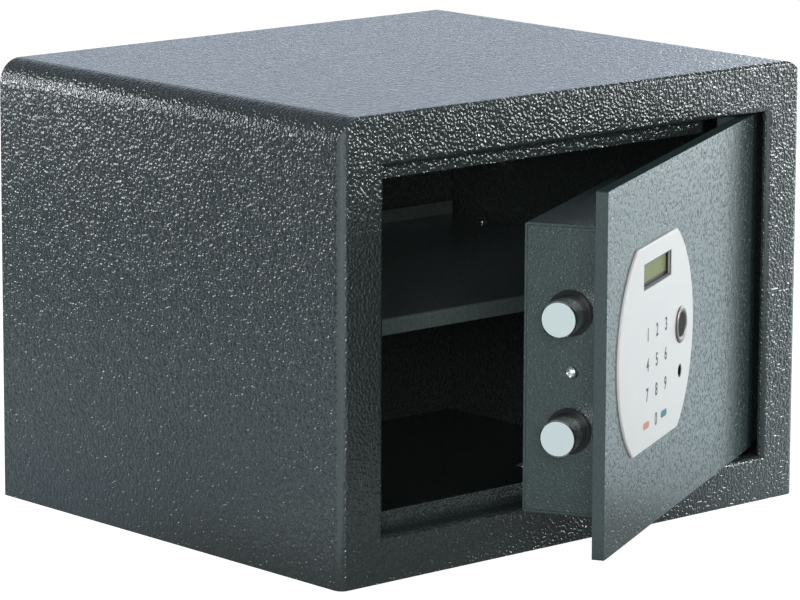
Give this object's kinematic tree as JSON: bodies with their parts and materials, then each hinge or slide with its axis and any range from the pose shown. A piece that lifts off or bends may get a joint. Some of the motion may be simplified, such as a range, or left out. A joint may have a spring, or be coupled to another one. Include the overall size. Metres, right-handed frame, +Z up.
{
  "type": "electronic safe deposit box",
  "caption": "Small steel safe with a right-hinged door, electronic keypad, motor driven rack-and-pinion bolts and an inner shelf, door ajar.",
  "frame": {"origin": "centre of the base, on the surface the safe stands on", "axes": "+Z up, +X to the right of someone facing the door, +Y from the door to the back wall; the door is drawn 28.5 degrees open"},
  "size_m": [0.35, 0.4235, 0.255],
  "materials": {
    "body_paint": "hammered grey enamel, satin",
    "door_paint": "hammered grey enamel, satin",
    "zinc_steel": "zinc plated",
    "bolt_chrome": "turned and plated",
    "black_plastic": "fine matt",
    "white_plastic": "semi-gloss",
    "gear_plastic": "moulded",
    "brass": "machined",
    "circuit_board": "solder mask",
    "cable_grey": "satin",
    "cell_wrap": "printed sleeve",
    "button_red": "moulded",
    "reader_metal": "satin turned",
    "reader_dark": "smoked",
    "display": "grey-green display"
  },
  "bodies": {
    "body": {"body_shell": "body_paint", "floor_panel": "body_paint", "rear_panel": "body_paint", "front_frame": "body_paint", "door_stop": "body_paint", "strike_plate": "body_paint", "hinge_lug_top": "body_paint", "hinge_lug_bottom": "body_paint", "hinge_pins": "zinc_steel", "hinge_washers": "zinc_steel", "shelf": "body_paint", "shelf_rail_left": "body_paint", "shelf_rail_right": "body_paint", "shelf_screws": "zinc_steel"},
    "door": {"door_plate": "door_paint", "door_knuckle_top": "door_paint", "door_knuckle_bottom": "door_paint", "lock_case": "door_paint", "case_cover": "door_paint", "case_screws": "zinc_steel", "battery_cover": "door_paint", "battery_cover_screw": "zinc_steel", "battery_tray": "black_plastic", "battery_cells": "cell_wrap", "bolt_bush_upper": "black_plastic", "bolt_bush_lower": "black_plastic", "rack_guide": "black_plastic", "gearbox": "gear_plastic", "motor": "zinc_steel", "motor_bracket": "zinc_steel", "limit_switches": "black_plastic", "control_board": "circuit_board", "board_posts": "zinc_steel", "keypad_cable": "cable_grey", "keypad_panel": "white_plastic", "keypad_board": "circuit_board", "panel_screws": "zinc_steel", "display_bezel": "black_plastic", "display_glass": "display", "reader_ring": "reader_metal", "reader_disc": "reader_dark", "power_jack": "black_plastic"},
    "bolt_carriage": {"locking_bolt_upper": "bolt_chrome", "locking_bolt_lower": "bolt_chrome", "bolt_carriage": "zinc_steel", "bolt_screws": "zinc_steel", "carriage_rack": "zinc_steel"},
    "drive_pinion": {"drive_pinion": "brass", "output_shaft": "zinc_steel"},
    "reset_button": {"reset_button": "button_red"}
  },
  "joints": [
    {"name": "door_hinge", "type": "hinge", "parent": "body", "child": "door", "pos_m": [0.1373, -0.1326, 0.1275], "axis": [0, 0, 1], "range_deg": [-28.5, 61.5]},
    {"name": "bolt_slide", "type": "slide", "parent": "door", "child": "bolt_carriage", "axis": [-0.8788, -0.4772, 0], "range_m": [0, 0.022]},
    {"name": "pinion_spin", "type": "hinge", "parent": "door", "child": "drive_pinion", "pos_m": [-0.01901, -0.18276, 0.1226], "axis": [0, 0, 1], "range_deg": [-140.2, 0]},
    {"name": "reset_press", "type": "slide", "parent": "door", "child": "reset_button", "axis": [0.4772, -0.8788, 0], "range_m": [0, 0.0012], "stiffness_N_per_m": 1200}
  ],
  "couplings": [
    {"joint": "pinion_spin", "follows": "bolt_slide", "rad_per_m": -111.11}
  ]
}
